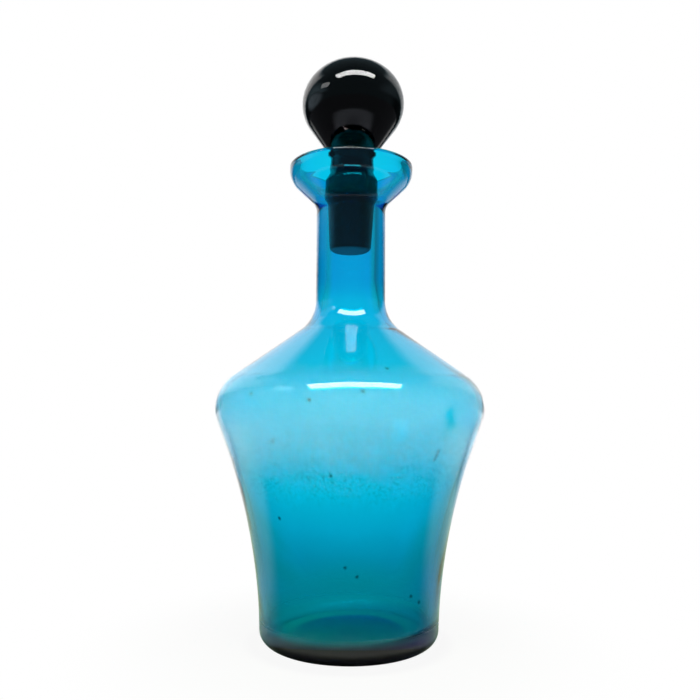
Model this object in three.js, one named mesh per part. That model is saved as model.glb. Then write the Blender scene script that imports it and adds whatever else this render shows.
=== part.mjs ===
// A stoppered carafe of blown glass: a bottle with a flared body, a conical shoulder, a straight neck and
// a cup-shaped mouth, and a solid glass stopper whose tapered shank hangs in the neck.
// Lengths are in millimetres and angles in degrees, a lean is measured from the upright axis, and the
// base stands on z = 0 with +Z as the axis.
import * as THREE from "three";

// Base and body of the bottle
const puntRadius = 27; // hollow under the base, which leaves a flat ring to stand on
const puntHeight = 2.4;
const floorHeight = 8; // thickness of the base
const innerHeelRadius = 9;
const heelRadius = 6.7;
const sideRadius = 270; // hollow sweep of the side
const sideLean = 22.4; // where the side runs into the belly
const bellyHeight = 108.8; // height of the widest line
const bellyRadius = 63.8; // the body at its widest
const bellyTurnRadius = 22.3; // turn of the glass below the widest line
const sideWall = 4.4; // glass at the foot of the side
const bodyWall = 2.1; // glass at the belly and the shoulder

// Shoulder and neck
const shoulderTurnRadius = 18.5; // turn of the glass above the widest line
const shoulderLean = 55;
const neckFootRadius = 17.8; // sweep between shoulder and neck
const footWall = 2.8; // glass in that sweep
const boreRise = 9; // from the sweep's top to where the bore begins
const neckLength = 45.2; // the straight stretch
const boreRadius = 11.95;
const neckWall = 4.85;

// Cup-shaped mouth
const cupFootRadius = 4; // outer turn from the neck into the cup
const cupLean = 46.9;
const cupTurnRadius = 11.1; // turn from the cup's slope to its upright edge
const cupFlare = 13.25; // how far the mouth stands out from the neck
const cupEdge = 1.3; // upright stretch below the lip
const cupWall = 4.85;
const lipEdgeRadius = 1.65; // on both edges of the lip

// Stopper, from the seat down and then up
const seatGap = 0.3; // between the stopper and the glass that it rests on
const shankClearance = 0.65; // between the top of the shank and the bore
const seatHeight = 3.3; // ground cone that rests in the throat of the cup
const collarStep = 0.75; // how far the collar stands out past the bore
const shankLength = 21.7;
const shankTaper = 3; // lean of the shank's side
const shankEdgeRadius = 1.2;
const collarHeight = 10.6;
const collarChamferHeight = 3.8;
const collarDepth = 2.2; // how far the stem is set in from the collar
const stemLength = 5.6;
const stemSweepRadius = 6;
const ballLean = 36.3; // of the cone between the stem and the ball
const ballRadius = 25.15;
const ballHalfHeight = 21.9; // the ball is a little flat

// Fineness of the facets
const facetError = 0.14; // how far a facet may cut inside its arc
const turns = 48; // facets round the axis

const radians = THREE.MathUtils.degToRad;
const sin = (degrees) => Math.sin(radians(degrees));
const cos = (degrees) => Math.cos(radians(degrees));
const tan = (degrees) => Math.tan(radians(degrees));

// A point of an outline, with the direction that leads out of the glass there.
const spot = (r, z, outR, outZ) => ({ at: new THREE.Vector2(r, z), out: new THREE.Vector2(outR, outZ) });

// Points of an arc. A hollow arc has its centre outside the glass.
function arc(centreR, centreZ, radius, from, to, hollow = false) {
  const facet = THREE.MathUtils.radToDeg(2 * Math.acos(1 - Math.min(facetError / radius, 1)));
  const steps = Math.max(1, Math.ceil(Math.abs(to - from) / facet));
  const side = hollow ? -1 : 1;
  return Array.from({ length: steps + 1 }, (_, i) => {
    const angle = from + ((to - from) * i) / steps;
    const [c, s] = [cos(angle), sin(angle)];
    return spot(centreR + radius * c, centreZ + radius * s, side * c, side * s);
  });
}

// Points between two spots of the same direction, without the spots themselves.
function straight(start, end, steps) {
  return Array.from({ length: steps - 1 }, (_, i) => {
    const at = start.at.clone().lerp(end.at, (i + 1) / steps);
    return spot(at.x, at.y, start.out.x, start.out.y);
  });
}

// Gives each spot of a stretch the thickness of the glass behind it, which changes smoothly.
function thicken(stretch, first, last = first) {
  const end = Math.max(stretch.length - 1, 1);
  stretch.forEach((p, i) => {
    p.wall = THREE.MathUtils.lerp(first, last, THREE.MathUtils.smoothstep(i / end, 0, 1));
  });
  return stretch;
}

// A solid turned about the Z axis from an outline that runs from the axis, round the outside, to the axis.
function turned(points) {
  return new THREE.LatheGeometry(points, turns).rotateX(Math.PI / 2);
}

// Bottle

// The side is an arc that runs into the belly's turn above and into the heel below.
const bellyTurnR = bellyRadius - bellyTurnRadius;
const sideCentreR = bellyTurnR + (bellyTurnRadius + sideRadius) * cos(sideLean);
const sideCentreZ = bellyHeight - (bellyTurnRadius + sideRadius) * sin(sideLean);
const footLean = THREE.MathUtils.radToDeg(Math.asin((heelRadius - sideCentreZ) / (sideRadius + heelRadius)));
const heelR = sideCentreR - (sideRadius + heelRadius) * cos(footLean);
const heel = arc(heelR, heelRadius, heelRadius, -90, -footLean);
const side = thicken(
  arc(sideCentreR, sideCentreZ, sideRadius, 180 - footLean, 180 - sideLean, true), sideWall, bodyWall);
const bellyTurn = thicken(arc(bellyTurnR, bellyHeight, bellyTurnRadius, -sideLean, 0), bodyWall);

// The shoulder is a cone between its turn and the foot of the neck.
const shoulderTurnR = bellyRadius - shoulderTurnRadius;
const shoulderTurn = thicken(arc(shoulderTurnR, bellyHeight, shoulderTurnRadius, 0, shoulderLean), bodyWall);
const neckRadius = boreRadius + neckWall;
const shoulderTop = bellyHeight + shoulderTurnRadius * sin(shoulderLean) +
  (shoulderTurnR + shoulderTurnRadius * cos(shoulderLean) -
    neckRadius - neckFootRadius * (1 - cos(shoulderLean))) / tan(shoulderLean);
const neckBottom = shoulderTop + neckFootRadius * sin(shoulderLean);
const neckFoot = thicken(
  arc(neckRadius + neckFootRadius, neckBottom, neckFootRadius, 180 + shoulderLean, 180, true),
  footWall);
const boreStart = thicken([spot(neckRadius, neckBottom + boreRise, 1, 0)], neckWall);

// The cup's slope runs from its foot, level with the neck's top, to the turn below the upright edge.
const neckTop = neckBottom + neckLength;
const cupFoot = thicken(
  arc(neckRadius + cupFootRadius, neckTop, cupFootRadius, 180, 180 - cupLean, true), neckWall);
const mouthRadius = neckRadius + cupFlare;
const cupTurnR = mouthRadius - cupTurnRadius;
const cupFootEnd = cupFoot.at(-1).at;
const cupTurnZ = cupFootEnd.y + (cupTurnR + cupTurnRadius * cos(cupLean) - cupFootEnd.x) / tan(cupLean) +
  cupTurnRadius * sin(cupLean);
const cupTurn = thicken(arc(cupTurnR, cupTurnZ, cupTurnRadius, -cupLean, 0), cupWall);
const slopeSteps = 4;
const cupSlope = thicken(
  [cupFoot.at(-1), ...straight(cupFoot.at(-1), cupTurn[0], slopeSteps), cupTurn[0]],
  neckWall, cupWall).slice(1, -1);

// The lip is flat between its two rounded edges.
const lipRound = Math.min(lipEdgeRadius, cupWall / 2);
const lipZ = cupTurnZ + cupEdge;
const lip = [
  arc(mouthRadius - lipRound, lipZ, lipRound, 0, 90),
  arc(mouthRadius - cupWall + lipRound, lipZ, lipRound, 90, 180),
].flat();

// The inside follows the outside at the thickness of the glass, down to the round above the floor.
const walls = [side, bellyTurn, shoulderTurn, neckFoot, boreStart, cupFoot, cupSlope, cupTurn].flat();
const innerHeelZ = floorHeight + innerHeelRadius;
const inner = walls.map((p) => p.at.clone().addScaledVector(p.out, -p.wall)).reverse();
const above = inner.filter((p) => p.y > innerHeelZ);
const [low, next] = inner.slice(above.length - 1, above.length + 1);
const innerSideR = low.clone().lerp(next, (low.y - innerHeelZ) / (low.y - next.y)).x;
const innerHeel = arc(innerSideR - innerHeelRadius, innerHeelZ, innerHeelRadius, 0, -90);

// The punt is part of a sphere.
const puntSphere = (puntRadius ** 2 + puntHeight ** 2) / (2 * puntHeight);
const puntReach = THREE.MathUtils.radToDeg(Math.asin(puntRadius / puntSphere));
const punt = arc(0, puntHeight - puntSphere, puntSphere, 90, 90 - puntReach);

// Joins stretches to one outline. Neighbouring stretches share an end point, which is kept once.
const samePlace = 0.001;
function outline(...stretches) {
  const joined = stretches.flat().map((p) => p.at ?? p);
  return joined.filter((p, i) => i === 0 || p.distanceTo(joined[i - 1]) > samePlace);
}

const bottle = new THREE.Mesh(
  turned(outline(punt, heel, walls, lip, above, innerHeel, [new THREE.Vector2(0, floorHeight)])),
  new THREE.MeshStandardMaterial({
    color: 0x12a0d2, roughness: 0.04, metalness: 0, transparent: true, opacity: 0.6 }));
bottle.name = "bottle";

// Stopper

// The seat is a cone that touches the round throat between the bore and the cup, but for the gap.
const shankTopR = boreRadius - shankClearance;
const collarR = boreRadius + collarStep;
const seatLean = THREE.MathUtils.radToDeg(Math.atan((collarR - shankTopR) / seatHeight));
const throatRadius = cupFootRadius + neckWall;
const reach = throatRadius + seatGap;
const touchR = boreRadius + throatRadius - reach * cos(seatLean);
const touchZ = neckTop + reach * sin(seatLean);
const shankTopZ = touchZ - (touchR - shankTopR) / tan(seatLean);

const shankTip = shankTopZ - shankLength;
const tipR = shankTopR - shankLength * tan(shankTaper);
const tipEdge = arc(
  tipR - shankEdgeRadius, shankTip + shankEdgeRadius, shankEdgeRadius, -90, -shankTaper);

const collarBottom = shankTopZ + seatHeight;
const collarTop = collarBottom + collarHeight;
const stemR = collarR - collarDepth;
const stemTop = collarTop + collarChamferHeight + stemLength;
const stemSweep = arc(stemR + stemSweepRadius, stemTop, stemSweepRadius, 180, 180 - ballLean, true);

// The cone meets the ball where the ball's own slope is as steep.
const meeting = Math.atan((ballHalfHeight / ballRadius) * tan(ballLean));
const sweepEnd = stemSweep.at(-1).at;
const ballZ = sweepEnd.y + (ballRadius * Math.cos(meeting) - sweepEnd.x) / tan(ballLean) +
  ballHalfHeight * Math.sin(meeting);
const roundBall = arc(0, 0, ballRadius, -THREE.MathUtils.radToDeg(meeting), 90);
const ball = roundBall.map((p) =>
  new THREE.Vector2(p.at.x, ballZ + (p.at.y * ballHalfHeight) / ballRadius));

const stopper = new THREE.Mesh(
  turned(outline(
    [new THREE.Vector2(0, shankTip)],
    tipEdge,
    [
      new THREE.Vector2(shankTopR, shankTopZ),
      new THREE.Vector2(collarR, collarBottom),
      new THREE.Vector2(collarR, collarTop),
      new THREE.Vector2(stemR, collarTop + collarChamferHeight),
    ],
    stemSweep,
    ball)),
  new THREE.MeshStandardMaterial({ color: 0x0a1722, roughness: 0.05, metalness: 0 }));
stopper.name = "stopper";

const carafe = new THREE.Group();
carafe.add(bottle, stopper);

export default carafe;
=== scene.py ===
# %% [markdown]
# A stoppered carafe of blown glass.
# The carafe is two pieces: a bottle of clear turquoise glass, blown in one with its cup-shaped mouth, and a
# solid stopper of almost black glass. The imported model holds both as coarse solids at their real size.
# This lesson makes the fine glass around that frame. Each piece is one surface that is turned from an
# outline, and most of the look comes from how thick the glass is, what colour it takes from the light, and
# what it reflects. Lengths are in metres unless a name or a comment says millimetres.

# %% Load the imported model
import math

import bmesh
import bpy
import numpy as np
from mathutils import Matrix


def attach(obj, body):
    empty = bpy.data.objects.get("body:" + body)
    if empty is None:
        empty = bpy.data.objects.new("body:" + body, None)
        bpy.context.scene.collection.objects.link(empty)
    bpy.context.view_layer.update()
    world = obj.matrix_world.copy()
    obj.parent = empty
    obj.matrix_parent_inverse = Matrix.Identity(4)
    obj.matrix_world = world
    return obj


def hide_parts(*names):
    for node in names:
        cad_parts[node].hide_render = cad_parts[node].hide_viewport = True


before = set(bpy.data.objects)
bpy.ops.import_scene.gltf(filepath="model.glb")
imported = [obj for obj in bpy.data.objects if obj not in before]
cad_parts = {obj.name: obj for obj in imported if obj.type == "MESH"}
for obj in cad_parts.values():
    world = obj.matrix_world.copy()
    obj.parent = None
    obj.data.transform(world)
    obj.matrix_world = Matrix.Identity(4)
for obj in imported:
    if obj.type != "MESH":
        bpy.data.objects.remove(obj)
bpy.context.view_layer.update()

# %% [markdown]
# The camera comes first, because the other cells are judged through it.
# The carafe was photographed from close by, a little above its middle and tipped up. A camera can be matched
# by eye, but this one stands where the measured outline of the photograph fits best.

# %% Camera
MM = 0.001
camera_distance = 363.75 * MM
camera_height = 109 * MM
camera_tip = 4.36  # degrees above level
camera_roll = -0.3  # degrees, because the carafe leans a hair to the right in the photograph
image_side = 700  # the photograph's side in pixels
camera_focus = 754.24  # the focal length in those pixels
sensor_width = 36  # millimetres

camera_data = bpy.data.cameras.new("camera")
camera_data.sensor_width = sensor_width
camera_data.lens = camera_focus / image_side * sensor_width
camera = bpy.data.objects.new("camera", camera_data)
camera.location = (0, -camera_distance, camera_height)
camera.rotation_euler = (math.radians(90 + camera_tip), math.radians(camera_roll), 0)
bpy.context.scene.collection.objects.link(camera)
bpy.context.scene.camera = camera
print("camera lens", round(camera_data.lens, 2), "mm")

# %% [markdown]
# Glass shows its shape by where its surface turns, so the outline has to be smooth and true.
# It could be drawn as a curve, but then the inner wall would have to be drawn too. Here an outline is a row
# of arcs and straight stretches that run into each other. Each point knows the direction that leads out of
# the glass, so the inner wall follows from the outer one and a thickness.

# %% Stretches of an outline
finest_turn = 3  # degrees between points of an arc
longest_step = 4  # millimetres between points


def arc(centre, radius, start, stop, hollow=False):
    """Points of an arc and their outward directions, both (n, 2) in millimetres.

    A point at angle a is centre + radius * (cos a, sin a). Its outward direction is (cos a, sin a), turned
    round where the arc is hollow, which means that its centre lies outside the glass.
    """
    sweep = abs(stop - start)
    steps = max(sweep / finest_turn, math.radians(sweep) * radius / longest_step)
    angle = np.radians(np.linspace(start, stop, max(int(math.ceil(steps)), 1) + 1))
    ray = np.stack([np.cos(angle), np.sin(angle)], 1)
    return np.asarray(centre) + radius * ray, -ray if hollow else ray


def straight(start, stop):
    """Points from start to stop, without both ends, and their outward directions.

    A point at share t is start + t * (stop - start). Outward is that way turned a quarter to the right,
    which leads away from the axis while the outline climbs.
    """
    way = np.subtract(stop, start)
    length = np.hypot(*way)
    steps = max(int(math.ceil(length / longest_step)), 2)
    share = np.linspace(0, 1, steps + 1)[1:-1, None]
    outward = np.array([way[1], -way[0]]) / length
    return np.asarray(start) + share * way, np.tile(outward, (len(share), 1))


# The sine, the cosine and the tangent of an angle in degrees.
def sin_of(degrees):
    return math.sin(math.radians(degrees))


def cos_of(degrees):
    return math.cos(math.radians(degrees))


def tan_of(degrees):
    return math.tan(math.radians(degrees))


print("an arc of 90 degrees and 10 mm has", len(arc((0, 0), 10, 0, 90)[0]), "points")

# %% [markdown]
# The bottle was blown and then worked at its mouth.
# The glass is thin where it was blown widest, at the belly, and thick in the neck and the base. Nearly all
# of these sizes are the solid model's, in millimetres and degrees. Three follow the photograph more closely:
# the inner floor, the wall in the neck's foot, and a softer foot outside the cup.

# %% Sizes of the bottle
belly_radius, belly_height = 63.8, 108.8
belly_turn, side_lean, side_sweep = 22.3, 22.4, 270
heel_round, punt_radius, punt_height = 6.7, 27, 2.4
shoulder_turn, shoulder_lean = 18.5, 55
neck_sweep, neck_length = 17.8, 45.2
bore_radius, neck_wall, bore_rise = 11.95, 4.85, 9
cup_foot, soft_foot, cup_lean, cup_turn = 4, 8, 46.9, 11.1
cup_flare, cup_edge, lip_round = 13.25, 1.3, 1.65
side_wall, body_wall, foot_wall, cup_wall = 4.4, 2.1, 2.7, 4.85
foot_top_wall = 3.4
floor_height, floor_round = 5.5, 6
print("belly", 2 * belly_radius, "mm wide, neck", round(2 * (bore_radius + neck_wall), 1), "mm wide")

# %% [markdown]
# The body's side is a hollow sweep that leans out into the belly, and the belly turns over into a cone.
# Handles on a curve would leave a kink wherever two of them don't agree, and glass shows every kink. So only
# the radii and the leans are given, and each centre is worked out from where one arc touches the next.

# %% Outline of the body
# The side's arc touches the belly's turn and the heel, which fixes its centre and its lean below.
belly_centre = np.array([belly_radius - belly_turn, belly_height])
side_centre = belly_centre + (belly_turn + side_sweep) * np.array([cos_of(side_lean), -sin_of(side_lean)])
foot_lean = math.degrees(math.asin((heel_round - side_centre[1]) / (side_sweep + heel_round)))
heel_centre = (side_centre[0] - (side_sweep + heel_round) * cos_of(foot_lean), heel_round)
heel = arc(heel_centre, heel_round, -90, -foot_lean)
side = arc(side_centre, side_sweep, 180 - foot_lean, 180 - side_lean, hollow=True)
belly = arc(belly_centre, belly_turn, -side_lean, 0)

# The shoulder's cone touches its turn below and the neck's sweep above.
neck_radius = bore_radius + neck_wall
shoulder = arc((belly_radius - shoulder_turn, belly_height), shoulder_turn, 0, shoulder_lean)
cone_top = neck_radius + neck_sweep * (1 - cos_of(shoulder_lean))
cone_rise = (shoulder[0][-1][0] - cone_top) / tan_of(shoulder_lean)
neck_bottom = shoulder[0][-1][1] + cone_rise + neck_sweep * sin_of(shoulder_lean)
neck_foot = arc((neck_radius + neck_sweep, neck_bottom), neck_sweep, 180 + shoulder_lean, 180, hollow=True)
cone = straight(shoulder[0][-1], neck_foot[0][0])
print("side leans out", round(foot_lean, 1), "degrees at the heel, neck from", round(neck_bottom, 1), "mm")

# %% [markdown]
# The mouth is a cup that opens out of the straight neck.
# The stopper stands on the round at the cup's foot, inside. Outside, the photograph shows a softer round
# there. One offset of a single line couldn't give both, so each side has its own arc.

# %% Outline of the cup
# The cup's slope touches its foot below and its turn above.
neck_top = neck_bottom + neck_length
foot = arc((neck_radius + cup_foot, neck_top), cup_foot, 180, 180 - cup_lean, hollow=True)
mouth_radius = neck_radius + cup_flare
turn_r = mouth_radius - cup_turn
turn_z = (foot[0][-1][1] + (turn_r + cup_turn * cos_of(cup_lean) - foot[0][-1][0]) / tan_of(cup_lean)
          + cup_turn * sin_of(cup_lean))
turn = arc((turn_r, turn_z), cup_turn, -cup_lean, 0)
slope = straight(foot[0][-1], turn[0][0])

# Outside and inside, the foot's round touches the same two lines, so the softer one starts lower.
soft_top = neck_top - (soft_foot - cup_foot) * tan_of(cup_lean / 2)
soft = arc((neck_radius + soft_foot, soft_top), soft_foot, 180, 180 - cup_lean, hollow=True)
neck = straight(neck_foot[0][-1], soft[0][0])
soft_slope = straight(soft[0][-1], turn[0][0])
lip_height = turn_z + cup_edge
lip_outer = arc((mouth_radius - lip_round, lip_height), lip_round, 0, 90)[0]
lip_inner = arc((mouth_radius - cup_wall + lip_round, lip_height), lip_round, 90, 180)[0]
print("neck up to", round(neck_top, 1), "mm, top of the lip at", round(lip_height + lip_round, 2))

# %% [markdown]
# The inside of the bottle is not a copy of the outside.
# A Solidify modifier would give the same thickness all over, but this glass goes from 2 mm at the belly to
# 5 mm in the neck. So each stretch has a thickness at its start and at its end, and the inner wall is the
# outer one moved inwards by what lies between them. The thicknesses are guesses from how deep the colour is.
# In the neck's foot the glass is thinner and nearly even, since a wedge looks black where the photograph is
# pale.

# %% Walls and the inside of the bottle


def smooth_step(t):
    """3 t^2 - 2 t^3 for t held between 0 and 1: a rise with level ends."""
    t = np.clip(t, 0, 1)
    return t * t * (3 - 2 * t)


def inside(*stretches):
    """The inner wall of stretches given as ((points, outward), first, last), which are thicknesses.

    A point goes inwards by first + (last - first) s, where s rises smoothly from 0 to 1 along its stretch.
    """
    return np.concatenate([
        points - outward * (first + (last - first) * smooth_step(np.linspace(0, 1, len(points))))[:, None]
        for (points, outward), first, last in stretches])


bore_start = ([(neck_radius, neck_bottom + bore_rise)], np.array([[1, 0]]))
inner_wall = inside(
    (side, side_wall, body_wall), (belly, body_wall, body_wall), (shoulder, body_wall, body_wall),
    (neck_foot, foot_wall, foot_top_wall), (bore_start, neck_wall, neck_wall), (foot, neck_wall, neck_wall),
    (slope, neck_wall, cup_wall), (turn, cup_wall, cup_wall))[::-1]
outer_stretches = (side, belly, shoulder, cone, neck_foot, neck, soft, soft_slope, turn)
outer_wall = np.concatenate([points for points, _ in outer_stretches])
print("outer wall", len(outer_wall), "points, inner wall", len(inner_wall), "points")

# %% [markdown]
# The base is the thickest glass, hollowed below by the punt so that the bottle stands on a ring.
# The inner floor could be flat with a sharp corner, but melted glass never leaves one, so a round joins it to
# the wall. The round sits where the inner wall reaches its height, and the punt is part of a sphere.

# %% Base, and the whole outline
same_place = 0.001  # millimetres between two points that count as one

floor_turn_height = floor_height + floor_round
above_floor = inner_wall[inner_wall[:, 1] > floor_turn_height]
side_r = np.interp(floor_turn_height, inner_wall[::-1, 1], inner_wall[::-1, 0])
floor_edge = arc((side_r - floor_round, floor_turn_height), floor_round, 0, -90)[0]
punt_sphere = (punt_radius ** 2 + punt_height ** 2) / (2 * punt_height)
punt_reach = math.degrees(math.asin(punt_radius / punt_sphere))
punt = arc((0, punt_height - punt_sphere), punt_sphere, 90, 90 - punt_reach)[0]
floor_line = straight(floor_edge[-1], (0, floor_height))[0]


def outline(*stretches):
    """Joins stretches of points to one outline, and drops a point that repeats the one before it."""
    points = np.concatenate([np.reshape(s, (-1, 2)) for s in stretches])
    step = np.hypot(*np.diff(points, axis=0).T)
    return points[np.concatenate([[True], step > same_place])]


ring_line = straight((punt_radius, 0), heel[0][0])[0]
bottle_outline = outline(
    punt, ring_line, heel[0], outer_wall, lip_outer, lip_inner,
    above_floor, floor_edge, floor_line, (0, floor_height))
print("bottle outline", len(bottle_outline), "points, inside", round(side_r, 1), "mm from the axis below")

# %% [markdown]
# Both pieces are turned, so one function makes them.
# A Screw modifier would do it too, but a grid can still be bent a little before it becomes a mesh. One way
# it runs along the outline, the other way round the axis. The outline's two ends lie on the axis, where a
# grid would leave slivers, so each end is one point with a fan of triangles.

# %% Turning an outline into a mesh
turns = 160  # facets round the axis


def turned_grid(points):
    """Positions (rings, turns, 3) in metres: ring i and turn j lie at (r_i cos p_j, r_i sin p_j, z_i)."""
    around = np.linspace(0, 2 * math.pi, turns, endpoint=False)
    r, z = points[:, 0, None] * MM, points[:, 1, None] * MM
    return np.stack([r * np.cos(around), r * np.sin(around), z + 0 * around], -1)


def closed_mesh(name, grid):
    """A mesh from grid (rings, turns, 3) whose first and last rings are single points on the axis.

    Faces run from ring i to ring i + 1 and round from turn j to turn j + 1, the last turn back to the first.
    """
    rings = grid[1:-1]
    vertices = np.concatenate([grid[:1, 0], rings.reshape(-1, 3), grid[-1:, 0]])
    index = 1 + np.arange(len(rings) * turns).reshape(-1, turns)
    beside = np.roll(index, -1, axis=1)
    quads = np.stack([index[:-1], beside[:-1], beside[1:], index[1:]], -1).reshape(-1, 4)
    first = np.stack([beside[0], index[0], np.zeros(turns, int)], -1)
    last = np.stack([index[-1], beside[-1], np.full(turns, len(vertices) - 1)], -1)
    corners = np.concatenate([first.ravel(), last.ravel(), quads.ravel()])
    sizes = np.concatenate([np.full(2 * turns, 3), np.full(len(quads), 4)])
    mesh = bpy.data.meshes.new(name)
    mesh.vertices.add(len(vertices))
    mesh.vertices.foreach_set("co", vertices.astype(np.float32).ravel())
    mesh.loops.add(len(corners))
    mesh.loops.foreach_set("vertex_index", corners.astype(np.int32))
    mesh.polygons.add(len(sizes))
    mesh.polygons.foreach_set("loop_start", (np.cumsum(sizes) - sizes).astype(np.int32))
    mesh.update(calc_edges=True)
    mesh.validate()
    mesh.shade_smooth()
    print(name, "mesh has", len(mesh.polygons), "faces")
    return mesh


print("a facet at the belly is", round(2 * math.pi * belly_radius / turns, 2), "mm wide")

# %% [markdown]
# Blown glass is never quite true.
# How this bottle strays can't be read from one picture, so random waves stand for it. A Displace modifier
# would make lumps, so they are slow, a few tenths of a millimetre high, and larger inside, where no mould
# touches the glass. The inner floor slopes. The outer wall only ever goes inwards, so the bottle stays inside
# its measured size.

# %% The bottle's mesh
outer_stray, inner_stray, floor_slope = 0.25, 0.35, 1.9  # millimetres
outer_seed, inner_seed = 3, 8
wave_shares, wave_drifts = (0.5, 0.3, 0.2), (0.02, -0.03, 0.05)  # drifts in radians for a millimetre up
still_foot, foot_rise = 3, 20  # millimetres up to where the wall is true, and then to its full stray
still_middle, middle_rise = 0.2, 1 / 3  # the same from the axis outwards, as shares of the belly's radius
neck_fade = 30  # millimetres below the neck over which the strays fade
slope_top, slope_fade = 40, 30  # millimetres up to where the inside still slopes, and over which it fades


def waves(around, height, seed):
    """A slow stray between -1 and 1: three waves round the axis whose phases drift with the height.

    Wave k is its share times cos(k * angle + a random phase + its drift * height).
    """
    phases = np.random.default_rng(seed).uniform(0, 2 * math.pi, len(wave_shares))
    return sum(share * np.cos(k * around + phase + drift * height)
               for k, (share, phase, drift) in enumerate(zip(wave_shares, phases, wave_drifts), 1))


grid = turned_grid(bottle_outline)
lip_top = int(np.argmax(bottle_outline[:, 1]))
radius = np.hypot(grid[..., 0], grid[..., 1])
around = np.arctan2(grid[..., 1], grid[..., 0])
height = grid[..., 2] / MM
outside = (np.arange(len(grid)) <= lip_top)[:, None]
free = smooth_step((radius / MM / belly_radius - still_middle) / middle_rise)
free = free * smooth_step((height - still_foot) / foot_rise) * smooth_step((neck_bottom - height) / neck_fade)
outer_waves = outer_stray * (waves(around, height, outer_seed) - 1) / 2
stray = np.where(outside, outer_waves, inner_stray * waves(around, height, inner_seed))
grid[..., :2] *= (1 + stray * MM * free / np.maximum(radius, MM))[..., None]
sloping = ~outside * smooth_step((slope_top - height) / slope_fade)
grid[..., 2] += floor_slope * MM * sloping * grid[..., 0] / (side_r * MM)
bottle_mesh = closed_mesh("bottle_glass", grid)
print("outer wall strays by up to", round(float(-(outer_waves * free).min()), 2), "mm")

# %% [markdown]
# The stopper is solid, and its shank is ground to a taper.
# The ball is a little flat. A cone draws it in to the stem, the collar stands on the throat of the cup, and
# the shank hangs free in the bore. A sphere and cylinders would need joining, and joints show in glass, so
# this is one outline too. The seat touches the throat but for a hair's breadth, which gives its height.

# %% Sizes and outline of the stopper
seat_gap, shank_clearance, seat_height, collar_step = 0.3, 0.65, 3.3, 0.75
shank_length, shank_taper, shank_edge = 21.7, 3, 1.2
collar_height, collar_chamfer, collar_depth = 10.6, 3.8, 2.2
stem_length, stem_sweep = 5.6, 6
ball_lean, ball_radius, ball_half_height = 36.3, 25.15, 21.9

shank_r, collar_r = bore_radius - shank_clearance, bore_radius + collar_step
seat_lean = math.degrees(math.atan((collar_r - shank_r) / seat_height))
throat = cup_foot + neck_wall
touch_r = bore_radius + throat - (throat + seat_gap) * cos_of(seat_lean)
touch_z = neck_top + (throat + seat_gap) * sin_of(seat_lean)
shank_top = touch_z - (touch_r - shank_r) / tan_of(seat_lean)
tip_z, tip_r = shank_top - shank_length, shank_r - shank_length * tan_of(shank_taper)
tip = arc((tip_r - shank_edge, tip_z + shank_edge), shank_edge, -90, -shank_taper)[0]
collar_low = shank_top + seat_height
collar_top = collar_low + collar_height
stem_r = collar_r - collar_depth
stem_top = collar_top + collar_chamfer + stem_length
sweep = arc((stem_r + stem_sweep, stem_top), stem_sweep, 180, 180 - ball_lean, hollow=True)[0]

# The cone meets the ball where the ball's own slope is as steep.
meeting = math.atan(ball_half_height / ball_radius * tan_of(ball_lean))
ball_z = (sweep[-1][1] + (ball_radius * math.cos(meeting) - sweep[-1][0]) / tan_of(ball_lean)
          + ball_half_height * math.sin(meeting))
flatness = [1, ball_half_height / ball_radius]
ball = arc((0, 0), ball_radius, -math.degrees(meeting), 90)[0] * flatness + [0, ball_z]
print("shank", round(tip_z, 1), "to", round(shank_top, 1), "mm, ball centre at", round(ball_z, 1), "mm")

# %% [markdown]
# The edges of the collar look soft, as edges do that were polished in the fire.
# A Bevel modifier would round them, but it would also cut into the smooth ball. Rounding the corners of the
# outline is simpler: each corner is cut back a little on both sides and a curve joins the cuts.

# %% The stopper's mesh
corner_cuts = np.array([0.45, 0.45, 0.9, 1.6])  # millimetres off both sides of each corner, from below
curve_points = 9
stopper_lean = 0.0155  # the stopper's sideways lean, as a share of its height over the seat


def round_corners(corners, cuts):
    """The corners with each inner one replaced by a curve of (1-t)^2 a + 2 t (1-t) corner + t^2 b.

    Here a and b lie that corner's cut before and after it, and t goes from 0 to 1.
    """
    corners = np.asarray(corners, float)
    before, at, after = corners[:-2], corners[1:-1], corners[2:]
    a = at + (cuts / np.hypot(*(before - at).T))[:, None] * (before - at)
    b = at + (cuts / np.hypot(*(after - at).T))[:, None] * (after - at)
    t = np.linspace(0, 1, curve_points)[None, :, None]
    curves = (1 - t) ** 2 * a[:, None] + 2 * t * (1 - t) * at[:, None] + t ** 2 * b[:, None]
    return np.concatenate([corners[:1], curves.reshape(-1, 2), corners[-1:]])


collar = round_corners([
    tip[-1], (shank_r, shank_top), (collar_r, collar_low), (collar_r, collar_top),
    (stem_r, collar_top + collar_chamfer), sweep[0]], corner_cuts)
shank_line = straight(collar[0], collar[1])[0]
cone_line = straight(sweep[-1], ball[0])[0]
stopper_outline = outline(
    (0, tip_z), tip, shank_line, collar[1:], sweep, cone_line, ball[:-1], (0, ball_z + ball_half_height))
stopper_grid = turned_grid(stopper_outline)
stopper_grid[..., 0] += stopper_lean * (stopper_grid[..., 2] - shank_top * MM)
stopper_mesh = closed_mesh("stopper_glass", stopper_grid)
print("the ball leans", round(stopper_lean * (ball_z - shank_top), 2), "mm to the right")

# %% [markdown]
# Each piece takes the place of a coarse solid of the model, which is hidden, and moves with that solid's
# body, whose empty becomes its parent. The amount of glass is measured as well: a shape that is inside out
# gives one below zero.

# %% Adding a piece
MILLILITRE = (10 * MM) ** 3  # cubic metres


def enclosed(mesh):
    """Volume inside a closed mesh in millilitres, which is above zero where its faces point outwards."""
    shape = bmesh.new()
    shape.from_mesh(mesh)
    volume = shape.calc_volume(signed=True)
    shape.free()
    return volume / MILLILITRE


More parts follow.
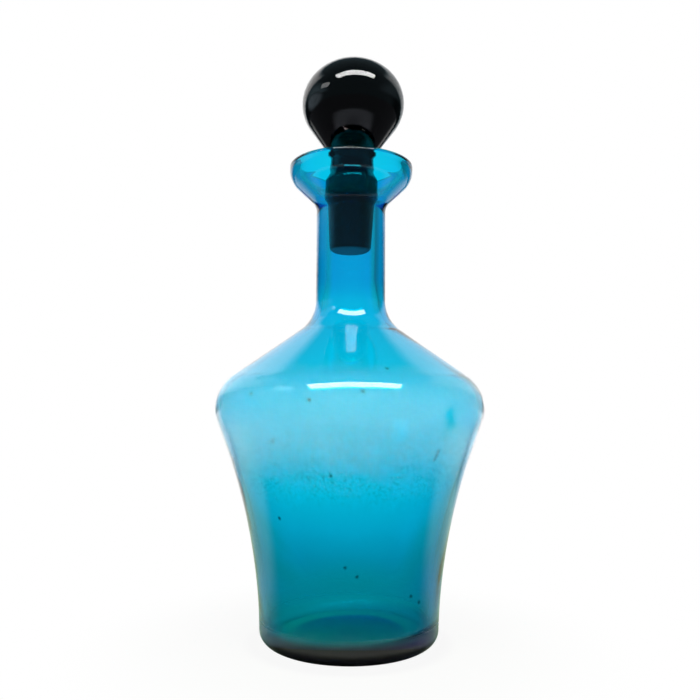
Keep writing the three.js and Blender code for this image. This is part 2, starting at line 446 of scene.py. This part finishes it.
def add_piece(name, mesh, body, node, material):
    """Links a mesh as a piece that rides on a body, stands for its node and has one material."""
    mesh.materials.append(material)
    piece = bpy.data.objects.new(name, mesh)
    bpy.context.scene.collection.objects.link(piece)
    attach(piece, body)
    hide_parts(node)
    print(name, "rides on the body", body)


for mesh in (bottle_mesh, stopper_mesh):
    print(mesh.name, "holds", round(enclosed(mesh), 1), "ml of glass")

# %% [markdown]
# Every finish below is a small net of nodes, and the same few kinds of node come back all the time.
# A net can be laid out by hand in the Shader Editor. Here a function makes each kind of node, and its
# arguments are numbers or the sockets of other nodes, so a net reads like the formula that it stands for.

# %% Helpers for numbers


def plug(tree, socket, entry):
    """Links an output socket to an input, or sets the input to a value."""
    if isinstance(entry, bpy.types.NodeSocket):
        tree.links.new(entry, socket)
    else:
        socket.default_value = entry


def fill(tree, node, entries):
    """Fills a node's inputs by name. Only live sockets count."""
    for label, entry in entries.items():
        plug(tree, next(s for s in node.inputs if s.name == label and s.enabled), entry)


def operation(tree, kind, name, values):
    """A Math or Vector Math node with these values, in order. Returns its live output."""
    node = tree.nodes.new(kind)
    node.operation = name
    for socket, value in zip(node.inputs, values):
        plug(tree, socket, value)
    return next(s for s in node.outputs if s.enabled)


def math_node(tree, name, *values):
    """The named operation on numbers."""
    return operation(tree, "ShaderNodeMath", name, values)


def vector_node(tree, name, *values):
    """The named operation on places, directions or colours."""
    return operation(tree, "ShaderNodeVectorMath", name, values)


def product(tree, first, *others):
    """The product of numbers and sockets."""
    for other in others:
        first = math_node(tree, "MULTIPLY", first, other)
    return first


def rest_of(tree, share):
    """1 less a share."""
    return math_node(tree, "SUBTRACT", 1.0, share)


def between(tree, value, low, high, to_low=0.0, to_high=1.0):
    """A Map Range node with smooth ends: value from low to high becomes to_low to to_high."""
    node = tree.nodes.new("ShaderNodeMapRange")
    node.interpolation_type = "SMOOTHSTEP"
    fill(tree, node, {"Value": value, "From Min": low, "From Max": high, "To Min": to_low, "To Max": to_high})
    return node.outputs[0]


print("ready: product, rest_of and between")

# %% [markdown]
# A finish also needs to know where on the piece it is, and which noise and colour it finds there.
# Generated coordinates would stretch with the piece's box. Object coordinates are real metres, so a height
# or a distance in a mask is the number that a ruler gives.

# %% Helpers for places, noise and colours


white = (1.0, 1.0, 1.0)


def as_colour(colour):
    """A colour of three numbers with its alpha of 1, or a socket as it is."""
    return colour if isinstance(colour, bpy.types.NodeSocket) else (*colour, 1)


def mixed_colour(tree, share, first, second):
    """A Mix node that goes from the first colour to the second as share goes from 0 to 1."""
    node = tree.nodes.new("ShaderNodeMix")
    node.data_type = "RGBA"
    fill(tree, node, {"Factor": share, "A": as_colour(first), "B": as_colour(second)})
    return next(s for s in node.outputs if s.enabled)


def noise(tree, place, scale, detail):
    """A noise between 0 and 1 with this many waves for a metre."""
    node = tree.nodes.new("ShaderNodeTexNoise")
    fill(tree, node, {"Vector": place, "Scale": scale, "Detail": detail})
    return node.outputs["Fac"]


def object_place(tree):
    """The Object coordinates and their X, Y and Z, in metres."""
    place = tree.nodes.new("ShaderNodeTexCoord").outputs["Object"]
    split = tree.nodes.new("ShaderNodeSeparateXYZ")
    tree.links.new(place, split.inputs[0])
    return place, split.outputs["X"], split.outputs["Y"], split.outputs["Z"]


def bumped(tree, height, distance):
    """A Bump node's normal, for a height of 0 to 1 that stands for this many metres."""
    node = tree.nodes.new("ShaderNodeBump")
    fill(tree, node, {"Height": height, "Distance": distance})
    return node.outputs["Normal"]


print("white as a socket's value:", as_colour(white))

# %% [markdown]
# Coloured glass is dyed through, so its colour belongs to its volume and not to its skin.
# Where the glass is thick it takes more of the light: the thin belly is pale and the thick neck is deep
# blue. A tinted Base Color would dye both alike. A Volume Absorption takes from each colour by itself: its
# rate for a metre is density times one less the colour. So the rates are written first, for a millimetre,
# and the colour follows.

# %% A glass material
glass_ior = 1.5  # how strongly common glass bends the light


def new_material(name):
    """An empty node material and its node tree."""
    material = bpy.data.materials.new(name)
    material.use_nodes = True
    material.node_tree.nodes.clear()
    return material, material.node_tree


def absorbing(tree, rates):
    """A Volume Absorption node that takes these shares of red, green and blue for each millimetre.

    The light left after x metres is exp(-density (1 - colour) x), so density is the largest rate for a
    metre, and a colour is 1 less its own rate over that density.
    """
    node = tree.nodes.new("ShaderNodeVolumeAbsorption")
    largest = max(rates)
    fill(tree, node, {"Density": largest / MM, "Color": as_colour([1 - rate / largest for rate in rates])})
    return node.outputs[0]


def new_glass(name, rates):
    """A glass that is dyed through at these rates, its node tree and its Principled shader."""
    material, tree = new_material(name)
    shader = tree.nodes.new("ShaderNodeBsdfPrincipled")
    fill(tree, shader, {"IOR": glass_ior, "Transmission Weight": 1.0})
    fill(tree, tree.nodes.new("ShaderNodeOutputMaterial"),
         {"Surface": shader.outputs[0], "Volume": absorbing(tree, rates)})
    return material, tree, shader


mirrored_share = ((glass_ior - 1) / (glass_ior + 1)) ** 2
print("glass mirrors", round(mirrored_share, 3), "of the light that meets it squarely")

# %% [markdown]
# Round its belly the carafe has a pale, grainy bloom, which is taken to be dust and fine dry droplets.
# It could be painted, but then the bottle would have to be unwrapped. Noise in Object coordinates needs no
# unwrapping and stays on the glass when it turns. One group makes the bloom's mask, which fades at both edges
# and breaks up into droplets, the clearness of the glass in the gaps between them, and a slow unevenness of
# the skin. The glass wears the bloom as a rough coat, because dust scatters the light that falls on it and
# doesn't dye what shines through.

# %% Group for the bloom
bloom_fade = 0.024  # metres over which it comes and goes, to each side of its edges
cloud_noise, cloud_edge, cloud_range = (38, 2), (0.32, 0.66), (0.7, 1.0)  # its slow unevenness
grain_noise, grain_share, grain_edge = (1000, 1), 1.4, (1.15, 1.75)  # its droplets
patch_noise, patch_share = (160, 2), 0.5  # the clusters that they form
drop_edge, drop_range = (0.35, 0.6), (0.6, 1.0)  # how pale one droplet is beside another
gap_noise, gap_edge = (900, 2), (0.48, 0.66)  # the gaps between them
gap_fading, gap_band = 3.0, 0.3  # how deep these are where the bloom fades, and all over it
ripple_noise = (42, 1)


def new_group(name, inputs, outputs):
    """A shader node group with named number inputs and outputs, and its input and output nodes."""
    group = bpy.data.node_groups.new(name, "ShaderNodeTree")
    for label, value in inputs.items():
        socket = group.interface.new_socket(name=label, in_out="INPUT", socket_type="NodeSocketFloat")
        socket.default_value = value
    for label in outputs:
        group.interface.new_socket(name=label, in_out="OUTPUT", socket_type="NodeSocketFloat")
    return group, group.nodes.new("NodeGroupInput"), group.nodes.new("NodeGroupOutput")


bloom_group, group_in, group_out = new_group(
    "glass_bloom", {"Bloom": 0.5, "Low": 0.06, "High": 0.14, "Shade": 0.5}, ("Mask", "Clear", "Height"))
tree = bloom_group
place, _, _, up = object_place(tree)
over_low = math_node(tree, "SUBTRACT", up, group_in.outputs["Low"])
over_high = math_node(tree, "SUBTRACT", up, group_in.outputs["High"])
low_edge = between(tree, over_low, -bloom_fade, bloom_fade)
band = product(tree, low_edge, between(tree, over_high, -bloom_fade, bloom_fade, 1.0, 0.0))
cloud = between(tree, noise(tree, place, *cloud_noise), *cloud_edge, *cloud_range)
grain = noise(tree, place, *grain_noise)
broken = math_node(tree, "ADD", product(tree, grain, grain_share),
                   product(tree, noise(tree, place, *patch_noise), patch_share))
droplets = between(tree, math_node(tree, "ADD", low_edge, broken), *grain_edge)
droplets = product(tree, droplets, between(tree, grain, *drop_edge, *drop_range))
mask = product(tree, band, cloud, droplets)
fading = product(tree, low_edge, rest_of(tree, low_edge))
gap = product(tree, between(tree, noise(tree, place, *gap_noise), *gap_edge),
              math_node(tree, "MULTIPLY_ADD", fading, gap_fading, product(tree, band, gap_band)))
clear = rest_of(tree, product(tree, gap, group_in.outputs["Shade"]))
fill(tree, group_out, {"Height": noise(tree, place, *ripple_noise)})
print("group", bloom_group.name, "has", len(bloom_group.nodes), "nodes")

# %% [markdown]
# Dark specks sit in the wall, and in one place the bloom looks wiped off.
# Noise would scatter them anywhere, but the largest show in the photograph, so they are placed one by one.
# Each is a small ball round a point of the wall, with an edge that a fine noise makes ragged.

# %% Specks and wiped spots in that group
speck_places = [  # on the front of the wall: sideways and up, in millimetres
    (-29.7, 61.9), (-41.5, 114.6), (-31.7, 94.8), (-16.4, 112.0), (-7.7, 81.3), (-1.7, 42.8), (3.3, 38.9),
    (5.2, 115.6), (15.3, 125.3), (36.5, 89.1), (37.3, 90.9), (35.7, 87.3), (26.5, 28.7), (30.2, 25.3)]
speck_size, speck_noise, speck_edge = (0.0009, 0.0018), (1500, 1), 0.0012  # metres
wiped_places = [(43.2, 102.5), (42.0, 106.5)]  # in the same way
wiped_size, wiped_noise, wiped_edge = (0.0044, 0.0068), (650, 2), 0.0056


def from_spot(tree, place, x, z, ragged):
    """How far a place is from the point of the wall that lies x to the side and z up, and a ragged share."""
    y = -math.sqrt(np.interp(z, outer_wall[:, 1], outer_wall[:, 0]) ** 2 - x ** 2)
    apart = vector_node(tree, "DISTANCE", place, (x * MM, y * MM, z * MM))
    return math_node(tree, "ADD", ragged, apart)


ragged = product(tree, noise(tree, place, *speck_noise), speck_edge)
for x, z in speck_places:
    clear = product(tree, clear, between(tree, from_spot(tree, place, x, z, ragged), *speck_size))
ragged = product(tree, noise(tree, place, *wiped_noise), wiped_edge)
for x, z in wiped_places:
    mask = product(tree, mask, between(tree, from_spot(tree, place, x, z, ragged), *wiped_size))
fill(tree, group_out, {"Mask": product(tree, mask, group_in.outputs["Bloom"]), "Clear": clear})
print(len(speck_places), "specks and", len(wiped_places), "wiped spots")

# %% [markdown]
# What is left was fitted to the photograph, with smooth masks that mix another colour into the skin's.
# The foot is duller than the rest. Towards the bottom the glass is tinted darker and greener, which is
# painted shade for the dim, greenish floor seen through the base, and its rim is painted nearly black at the
# front, as painted shade where the dark paper under the foot shows. Whether dirt, wear or the surroundings
# make it so can't be told, so masks by height give the look. At the neck and the cup the glass came out
# violet where it is seen at a slant. A yellowish tint takes that back: it corrects the render and is no
# finish of the real glass. A second material could do the same, but it would leave a seam.

# %% The bottle's glass
blue_rates = (1.25, 0.100, 0.027)  # taken from red, green and blue for a millimetre
bloom_values = {"Bloom": 1.0, "Low": 0.0845, "High": 0.106, "Shade": 0.40}  # the edges in metres up
coat_values = {"Coat Roughness": 0.9, "Coat IOR": 2.0}
foot_shade_edge, foot_shade_tint = (0.016, 0.032), (0.90, 0.95, 0.80)  # metres up to where the foot is tinted darker and greener: painted shade
dull_edge, dull_roughness = (0.009, 0.021), 0.3  # metres up to where it is also dull
rim_shade_edge, rim_shade_tint = (-0.002, 0.0025), (0.04, 0.012, 0.001)  # metres up to where its front rim is painted dark: painted shade
rim_shade_ring, rim_shade_slant = (0.034, 0.038), 0.24  # metres out to it, and how far it climbs for each metre forward
speck_tint = (0.01, 0.08, 0.08)
warm_edge, warm_slant, warm_tint = (0.150, 0.168), (0.28, 0.58), (1.0, 0.98, 0.50)  # against the violet
blue_ripple = 0.00025  # metres

blue_glass, tree, shader = new_glass("blue_glass", blue_rates)
bloom = tree.nodes.new("ShaderNodeGroup")
bloom.node_tree = bloom_group
fill(tree, bloom, bloom_values)
place, _, back, up = object_place(tree)
# Painted shade: the glass is tinted darker and greener towards the foot
tint = mixed_colour(tree, between(tree, up, *foot_shade_edge), foot_shade_tint, white)
from_axis = vector_node(tree, "LENGTH", vector_node(tree, "MULTIPLY", place, (1, 1, 0)))
# Painted shade: the rim at the foot's front goes nearly black, climbing higher towards the front
slanted = math_node(tree, "MULTIPLY_ADD", back, rim_shade_slant, up)
rim = product(tree, between(tree, slanted, *rim_shade_edge, 1.0, 0.0), between(tree, from_axis, *rim_shade_ring))
tint = mixed_colour(tree, rim, tint, rim_shade_tint)
tint = mixed_colour(tree, bloom.outputs["Clear"], speck_tint, tint)
slant = tree.nodes.new("ShaderNodeLayerWeight").outputs["Facing"]
warm = product(tree, between(tree, slant, *warm_slant), between(tree, up, *warm_edge))
fill(tree, shader, {
    "Base Color": mixed_colour(tree, warm, tint, warm_tint),
    "Roughness": between(tree, up, *dull_edge, dull_roughness, 0.0),
    "Coat Weight": bloom.outputs["Mask"],
    "Normal": bumped(tree, bloom.outputs["Height"], blue_ripple),
    **coat_values})
add_piece("bottle_glass", bottle_mesh, "bottle", "bottle", blue_glass)

# %% [markdown]
# The stopper's glass is so strongly dyed that it looks black, and only its thin edges let a little blue
# through. Its shank is taken to be ground matt, as on most such stoppers, so that it grips in the neck. A
# second material would cut the glass in two, so the ground part is a mask by height.

# %% The stopper's glass
dark_rates = (0.57, 0.385, 0.325)
polished, ground, ground_fade = 0.0, 0.35, 0.4  # roughness, and the half width of its edge in millimetres
dark_noise, dark_ripple = (60, 1), 0.0001

dark_glass, tree, shader = new_glass("dark_glass", dark_rates)
place, _, _, up = object_place(tree)
ground_edge = ((collar_low - ground_fade) * MM, (collar_low + ground_fade) * MM)
fill(tree, shader, {
    "Roughness": between(tree, up, *ground_edge, ground, polished),
    "Normal": bumped(tree, noise(tree, place, *dark_noise), dark_ripple)})
add_piece("stopper_glass", stopper_mesh, "stopper", "stopper", dark_glass)

# %% [markdown]
# Clear glass shows its surroundings, so what the floor and the room look like depends on who looks.
# A Light Path node tells a camera's ray, a ray through the glass and a mirrored ray apart. With it, one
# floor can be plain white for the camera, shaded through the glass and dark in reflections, as a large
# studio with screens and black cloths would make it.

# %% Helpers for the studio


def reflection(tree, path):
    """1 for a ray that was reflected, sharp or blurred, and 0 for any other.

    Glass sets both the glossy and the transmission flag on what goes through, so the second is taken off.
    """
    return math_node(tree, "SUBTRACT", path.outputs["Is Glossy Ray"], path.outputs["Is Transmission Ray"])


def sharp_reflection(tree, path):
    """1 for a ray that was mirrored by a smooth surface, and 0 for one that went through or was scattered."""
    return product(tree, reflection(tree, path), path.outputs["Is Singular Ray"])


once = 0.5  # a depth above this is one bounce or more


def mirrored_forward(tree, path, y, edge, share):
    """A share for a ray that a piece mirrored, inside the glass too, and that goes forward past the edge."""
    bounced = math_node(tree, "GREATER_THAN", path.outputs["Glossy Depth"], once)
    return product(tree, bounced, between(tree, y, *edge, share, 0.0))


def mix_shaders(tree, share, first, second):
    """A Mix Shader node that goes from the first shader to the second as share goes from 0 to 1."""
    mix = tree.nodes.new("ShaderNodeMixShader")
    for socket, source in zip(mix.inputs, (share, first, second)):
        tree.links.new(source, socket)
    return mix.outputs[0]


def emission(tree, colour, strength):
    """An Emission node's shader. Its colour and its strength are values or sockets."""
    node = tree.nodes.new("ShaderNodeEmission")
    fill(tree, node, {"Color": as_colour(colour), "Strength": strength})
    return node.outputs[0]


def ramp(tree, share, stops):
    """A Color Ramp node with (place, colour) stops, whose colour changes evenly between them."""
    node = tree.nodes.new("ShaderNodeValToRGB")
    elements = node.color_ramp.elements
    elements.remove(elements[-1])
    added = [elements.new(place) for place, _ in stops[1:]]
    for (_, colour), element in zip(stops, [elements[0], *added]):
        element.color = as_colour(colour)
    tree.links.new(share, node.inputs["Fac"])
    return node.outputs["Color"]


def studio_panel(name, across, along, material):
    """A flat panel for the studio, whose corners lie at plus and minus across and along."""
    a, b = np.array(across), np.array(along)
    mesh = bpy.data.meshes.new(name)
    mesh.from_pydata([-a - b, a - b, a + b, b - a], [], [(0, 1, 2, 3)])
    mesh.materials.append(material)
    panel = bpy.data.objects.new(name, mesh)
    bpy.context.scene.collection.objects.link(panel)
    return panel


print("a ray counts as mirrored above a depth of", once)

# %% [markdown]
# The carafe stands on a plain pale sweep of paper.
# For the camera most of it is the plain white of the background, so that no horizon shows, and only round
# the foot does the matt paint show a little, with the carafe's shadow. Under the foot the paint is nearly
# black, because no light gets between the glass and the paper.

# %% Floor
floor_side = 6.0
seen_fade, seen_least = (0.045, 0.14), 0.93  # metres over which it turns white, and the least share of white
contact = (0.044, 0.052)  # metres out to where it is dark under the foot
contact_shade, matt_shade = (0.03, 0.03, 0.025), (0.42, 0.46, 0.36)

floor_paint, tree = new_material("floor_paint")
path = tree.nodes.new("ShaderNodeLightPath")
place, aside_x, back_y, _ = object_place(tree)
away = vector_node(tree, "LENGTH", place)
matt = tree.nodes.new("ShaderNodeBsdfDiffuse")
fill(tree, matt, {"Color": mixed_colour(tree, between(tree, away, *contact), contact_shade, matt_shade)})
seen = product(tree, path.outputs["Is Camera Ray"], between(tree, away, *seen_fade, seen_least, 1.0))
floor = studio_panel("floor", (floor_side / 2, 0, 0), (0, floor_side / 2, 0), floor_paint)
print("floor", floor_side, "m wide")

# %% [markdown]
# Through the glass the floor shows its own shade, which the carafe throws on it.
# The shade could be left to the lamps, but light through thick glass is slow to render and seldom right. So
# it is written down: dark under the base, paler outwards, a little green at the sides, and dark in front
# for light that a piece mirrored on its way.

# %% The floor through the glass
shade_reach = 1.2  # metres to where the floor is white
floor_shades = [  # metres from the axis, and the floor's shade there
    (0.0, (0.05, 0.07, 0.01)), (0.02, (0.30, 0.42, 0.13)), (0.046, (0.58, 0.70, 0.52)),
    (0.066, (0.56, 0.62, 0.50)), (0.09, (0.53, 0.56, 0.48)), (0.16, (0.56, 0.59, 0.53)),
    (0.25, (0.73, 0.75, 0.73)), (0.475, (0.91, 0.93, 0.92)), (shade_reach, white)]
aside, aside_tint = (0.22, 0.42), (0.72, 0.92, 0.72)  # how far aside the carafe tints its shadow
aside_from, aside_to = (0.09, 0.15), (0.22, 0.36)  # metres out to where that begins, and to where it ends
front_floor, front_floor_dim = (-0.20, -0.08), 0.8  # metres back, and how much darker it is in front of that

shade = ramp(tree, math_node(tree, "DIVIDE", away, shade_reach),
             [(place / shade_reach, colour) for place, colour in floor_shades])
sideways = math_node(tree, "DIVIDE", math_node(tree, "ABSOLUTE", aside_x), away)
spread = product(tree, between(tree, sideways, *aside), between(tree, away, *aside_from),
                 between(tree, away, *aside_to, 1.0, 0.0))
shadowed = vector_node(tree, "MULTIPLY", shade, mixed_colour(tree, spread, white, aside_tint))
forward = mirrored_forward(tree, path, back_y, front_floor, front_floor_dim)
glow = emission(tree, shadowed, rest_of(tree, forward))
through_glass = mix_shaders(tree, path.outputs["Is Transmission Ray"], matt.outputs[0], glow)
plain = mix_shaders(tree, seen, through_glass, emission(tree, white, 1.0))
print("floor shades from", floor_shades[0][1], "to", floor_shades[-1][1])

# %% [markdown]
# In reflections the floor is what makes or spoils the blue.
# A pale floor would lay a veil over the whole front, so mirrored rays see it dark, with a band of lit paper
# in front. Behind the carafe they see it pale, straight back and, for flat rays, to the sides, which draws
# the soft rims of the body.

# %% The floor in reflections
foot_glow, foot_edge = 0.5, (0.050, 0.060)  # the light at the foot, and metres out to where it ends
paper_lit, paper_end, paper_light = (0.17, 0.24), (0.26, 0.32), 0.4  # the lit paper in front
paper_dark, paper_far = 0.01, 0.07  # between them, and past the paper
paper_tint = (0.92, 1.0, 1.15)
near_foot, near_end = (0.050, 0.066), (0.10, 0.20)  # metres out, where the dull film sees the same paper
behind_edge, behind_turn = (-0.03, 0.02), (0.62, 0.85)  # metres back, and how straight back, where it is pale
near_by, behind_tint = (0.25, 0.40), (0.88, 1.10, 0.88)  # metres out to where flat rays see it pale
steepness = (1.08, 1.2)  # a ray's length over where it lands, from flat to steep

lit = product(tree, between(tree, away, *paper_lit), between(tree, away, *paper_end, 1.0, 0.0))
paper_tone = math_node(tree, "ADD", between(tree, away, *foot_edge, foot_glow, paper_dark),
                       between(tree, away, *paper_end, 0.0, paper_far))
paper_tone = math_node(tree, "ADD", paper_tone, product(tree, lit, paper_light))
at_foot = product(tree, between(tree, away, *near_foot), between(tree, away, *near_end, 1.0, 0.0),
                  reflection(tree, path))
in_mirror = math_node(tree, "MAXIMUM", sharp_reflection(tree, path), at_foot)
reflected = mix_shaders(tree, in_mirror, plain, emission(tree, paper_tint, paper_tone))

straight_back = between(tree, math_node(tree, "DIVIDE", back_y, away), *behind_turn)
flat_ray = between(tree, math_node(tree, "DIVIDE", path.outputs["Ray Length"], away), *steepness, 1.0, 0.0)
nearby = product(tree, flat_ray, between(tree, away, *near_by, 1.0, 0.0))
behind = product(tree, reflection(tree, path), between(tree, back_y, *behind_edge),
                 math_node(tree, "MAXIMUM", straight_back, nearby))
tinted = vector_node(tree, "MULTIPLY", shade, mixed_colour(tree, nearby, white, behind_tint))
paper = mix_shaders(tree, behind, reflected, emission(tree, tinted, 1.0))
fill(tree, tree.nodes.new("ShaderNodeOutputMaterial"), {"Surface": paper})
print("floor_paint has", len(tree.nodes), "nodes")

# %% [markdown]
# A round black ball shows the whole room, so it needs something to show.
# A small pale card to the left leaves the soft grey patch on the ball's left side. A lamp there would light
# the glass as well. The card glows only for sharp reflections and is clear for every other ray.

# %% The pale card beside the ball
card_place, card_half = (-0.150, -0.004, 0.268), (0.090, 0.046)  # its middle, and half its width and height
card_light, card_tint = 0.62, (0.75, 0.95, 1.1)
card_fade = (0.15, 1.0)  # where it fades, as the square of the share of the way to its edge

card_paint, tree = new_material("card_paint")
_, _, along, up = object_place(tree)
wide, tall = card_half
across, upward = math_node(tree, "DIVIDE", along, wide), math_node(tree, "DIVIDE", up, tall)
outward = math_node(tree, "MULTIPLY_ADD", across, across, product(tree, upward, upward))
shown = product(tree, sharp_reflection(tree, tree.nodes.new("ShaderNodeLightPath")),
                between(tree, outward, *card_fade, 1.0, 0.0))
card_glow = emission(tree, card_tint, between(tree, outward, *card_fade, card_light, 0.0))
clear_card = tree.nodes.new("ShaderNodeBsdfTransparent").outputs[0]
fill(tree, tree.nodes.new("ShaderNodeOutputMaterial"),
     {"Surface": mix_shaders(tree, shown, clear_card, card_glow)})
card = studio_panel("card", (0, wide, 0), (0, 0, tall), card_paint)
card.location = card_place
print("card", 2 * wide, "by", 2 * tall, "m")

# %% [markdown]
# What stands round glass is seen in it, so the room matters as much as the lamps.
# A picture of a studio could light it all, but then nothing could be placed. In reflections the room is white
# only behind the carafe, where it draws the pale rim of the ball. In front and at the sides it is dark, a
# little less so to the left, which keeps the blue deep: every bright thing there would lay a veil over it.

# %% The room in reflections
room_shade, left_wall, right_wall = 0.11, 0.40, 0.12  # the dark room in front, and what each side adds to it
wall_turn, wall_foot = (0.75, 0.95), (0.17, 0.30)  # how far sideways and up the sides begin, and are in full
behind, climb = (0.85, 1.10), 1.2  # how far back the backdrop begins, and how much pointing up counts there
backdrop_top = (0.68, 0.82)  # how steeply up it ends
backdrop_turn, backdrop_sides = 0.6, (1.25, 0.85)  # how bright it is to the left and to the right
room_back, room_least, room_top = (-0.1, 0.35), 0.2, (0.3, 0.5)  # far back and low it is darker still
room_tint = (0.66, 0.97, 1.12)

world = bpy.data.worlds.new("studio")
bpy.context.scene.world = world
world.use_nodes = True
tree = world.node_tree
path = tree.nodes.new("ShaderNodeLightPath")
way = tree.nodes.new("ShaderNodeSeparateXYZ")
tree.links.new(tree.nodes.new("ShaderNodeTexCoord").outputs["Generated"], way.inputs[0])
to_right, to_back, to_top = way.outputs["X"], way.outputs["Y"], way.outputs["Z"]
to_left = product(tree, to_right, -1.0)
mirrored = sharp_reflection(tree, path)
back = between(tree, math_node(tree, "MULTIPLY_ADD", to_top, climb, to_back), *behind)
back = product(tree, back, between(tree, to_top, *backdrop_top, 1.0, 0.0),
               between(tree, to_right, -backdrop_turn, backdrop_turn, *backdrop_sides))
level = math_node(tree, "MAXIMUM", between(tree, to_back, *room_back, 1.0, room_least),
                  between(tree, to_top, *room_top, room_least, 1.0))
walls = math_node(tree, "ADD", between(tree, to_left, *wall_turn, 0.0, left_wall),
                  between(tree, to_right, *wall_turn, 0.0, right_wall))
dark_room = product(tree, level, room_shade)
walls = math_node(tree, "MULTIPLY_ADD", walls, between(tree, to_top, *wall_foot), dark_room)
reflected = product(tree, mirrored, math_node(tree, "MAXIMUM", back, walls))
print("dark room at", round(room_shade * room_least, 3), "and backdrop at", backdrop_sides[0])

# %% [markdown]
# Light that comes through the glass sees the white backdrop, a little dimmer to the sides.
# Matt surfaces are lit by an even share of the same white, as the walls of a room would light them. The
# rough bloom would stay too dark with that, because a coat mirrors less than dust scatters, so rays that it
# reflects see the world brighter. One plain colour would be simpler, but the photograph's sides are warmer.

# %% World
side_turn, left_dim, right_dim = (0.4, 0.85), 0.05, 0.45  # how far sideways and how much dimmer the sides are
left_tint, right_tint = (0.95, 1.0, 0.80), (0.95, 1.0, 0.70)
front_edge, front_dim = (-0.5, 0.0), 0.7  # how much darker it is in front for light that a piece mirrored
ambient, caught = 0.45, 0.10  # how strongly the world lights matt surfaces, and through the glass
bloom_light = 11.0  # how strongly it lights the bloom

going_through = path.outputs["Is Transmission Ray"]
at_left, at_right = between(tree, to_left, *side_turn), between(tree, to_right, *side_turn)
sides = math_node(tree, "ADD", product(tree, at_left, left_dim), product(tree, at_right, right_dim))
forward = mirrored_forward(tree, path, to_back, front_edge, front_dim)
through = product(tree, going_through, rest_of(tree, sides), rest_of(tree, forward))
seen = math_node(tree, "MAXIMUM", path.outputs["Is Camera Ray"], through)
rough = product(tree, math_node(tree, "SUBTRACT", reflection(tree, path), mirrored), bloom_light)
unscattered = math_node(tree, "LESS_THAN", path.outputs["Diffuse Depth"], once)
direct = product(tree, unscattered, math_node(tree, "MAXIMUM", seen, rough))
scattered = product(tree, rest_of(tree, unscattered), between(tree, going_through, 0.0, 1.0, ambient, caught))
strength = math_node(tree, "ADD", direct, math_node(tree, "ADD", reflected, scattered))
colour = mixed_colour(tree, product(tree, going_through, at_left), white, left_tint)
colour = mixed_colour(tree, product(tree, going_through, at_right), colour, right_tint)
colour = mixed_colour(tree, product(tree, mirrored, rest_of(tree, back)), colour, room_tint)
fill(tree, tree.nodes["Background"], {"Color": colour, "Strength": strength})
print("world lights matt surfaces at", ambient)

# %% [markdown]
# One wide soft box hangs high in front of the carafe and leaves the bright bars on the ball, the neck's foot
# and the belly. Its place follows from them: each bar says in which direction its light lies. A Sun would
# leave points, not bars. A small lamp low on the left leaves the paler spots beside them.

# %% Lamps
soft_box = {"place": (0.07, -0.66, 1.38), "target": (0.0, 0.0, 0.15), "size": (1.65, 0.36), "radiance": 15}
side_lamp = {"place": (-0.42, -0.195, 0.50), "target": (0, 0, 0.150), "size": (0.16, 0.10), "radiance": 2.5}


def add_lamp(name, place, target, size, radiance):
    """A rectangular lamp at place that faces target, with size (width, depth) in metres.

    Its power is radiance times area times pi, so that a mirror shows it at that radiance.
    """
    data = bpy.data.lights.new(name, "AREA")
    data.shape = "RECTANGLE"
    data.size, data.size_y = size
    data.energy = radiance * size[0] * size[1] * math.pi
    lamp = bpy.data.objects.new(name, data)
    lamp.location = place
    way = np.subtract(target, place)
    lamp.rotation_euler = (
        math.acos(-way[2] / np.linalg.norm(way)), 0, math.atan2(way[1], way[0]) - math.pi / 2)
    lamp.visible_camera = False
    bpy.context.scene.collection.objects.link(lamp)
    print(name, round(data.energy, 2), "W")


add_lamp("soft_box", **soft_box)
add_lamp("side_lamp", **side_lamp)

# %% [markdown]
# The colours are meant to be seen as they are written, so the view transform is Standard.

# %% Finish
bpy.context.scene.view_settings.view_transform = "Standard"
